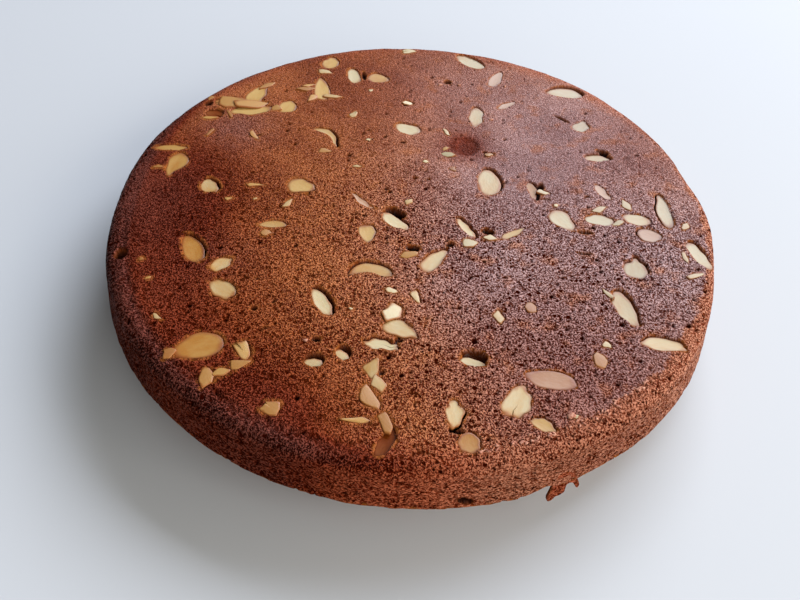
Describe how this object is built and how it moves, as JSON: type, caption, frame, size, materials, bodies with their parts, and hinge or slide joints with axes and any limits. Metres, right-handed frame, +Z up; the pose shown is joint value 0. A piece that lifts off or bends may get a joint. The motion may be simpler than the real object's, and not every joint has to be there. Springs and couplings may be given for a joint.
{
  "type": "chocolate almond cake",
  "caption": "Wide, flat round chocolate sponge cake, uncut, with a porous browned crust, a rounded top edge and sliced almonds baked into its top.",
  "frame": {"origin": "on the resting plane, under the middle of the cake", "axes": "+Z up out of the almond side; the cake is round, and +Y is the way from the picture's viewer to the far edge"},
  "size_m": [0.2752, 0.2782, 0.037],
  "materials": {
    "crust": "matte",
    "almond_pale": "satin",
    "almond_golden": "satin",
    "almond_rosy": "satin",
    "almond_toasted": "satin"
  },
  "bodies": {
    "root": {"sponge": "crust", "almond_01": "almond_golden", "almond_02": "almond_golden", "almond_03": "almond_golden", "almond_04": "almond_golden", "almond_05": "almond_golden", "almond_06": "almond_toasted", "almond_07": "almond_toasted", "almond_08": "almond_golden", "almond_09": "almond_golden", "almond_10": "almond_pale", "almond_11": "almond_golden", "almond_12": "almond_golden", "almond_13": "almond_pale", "almond_14": "almond_pale", "almond_15": "almond_golden", "almond_16": "almond_pale", "almond_17": "almond_golden", "almond_18": "almond_pale", "almond_19": "almond_pale", "almond_20": "almond_rosy", "almond_21": "almond_rosy", "almond_22": "almond_pale", "almond_23": "almond_pale", "almond_24": "almond_pale", "almond_25": "almond_pale", "almond_26": "almond_golden", "almond_27": "almond_rosy", "almond_28": "almond_pale", "almond_29": "almond_pale", "almond_30": "almond_pale", "almond_31": "almond_rosy", "almond_32": "almond_pale", "almond_33": "almond_pale", "almond_34": "almond_pale", "almond_35": "almond_pale", "almond_36": "almond_pale", "almond_37": "almond_rosy", "almond_38": "almond_pale", "almond_39": "almond_golden", "almond_40": "almond_golden", "almond_41": "almond_pale", "almond_42": "almond_pale", "almond_43": "almond_pale", "almond_44": "almond_pale", "almond_45": "almond_pale", "almond_46": "almond_pale", "almond_47": "almond_pale", "almond_48": "almond_pale", "almond_49": "almond_rosy", "almond_50": "almond_golden", "almond_51": "almond_pale", "almond_52": "almond_golden", "almond_53": "almond_pale", "almond_54": "almond_pale", "almond_55": "almond_pale", "almond_56": "almond_toasted"}
  },
  "joints": []
}
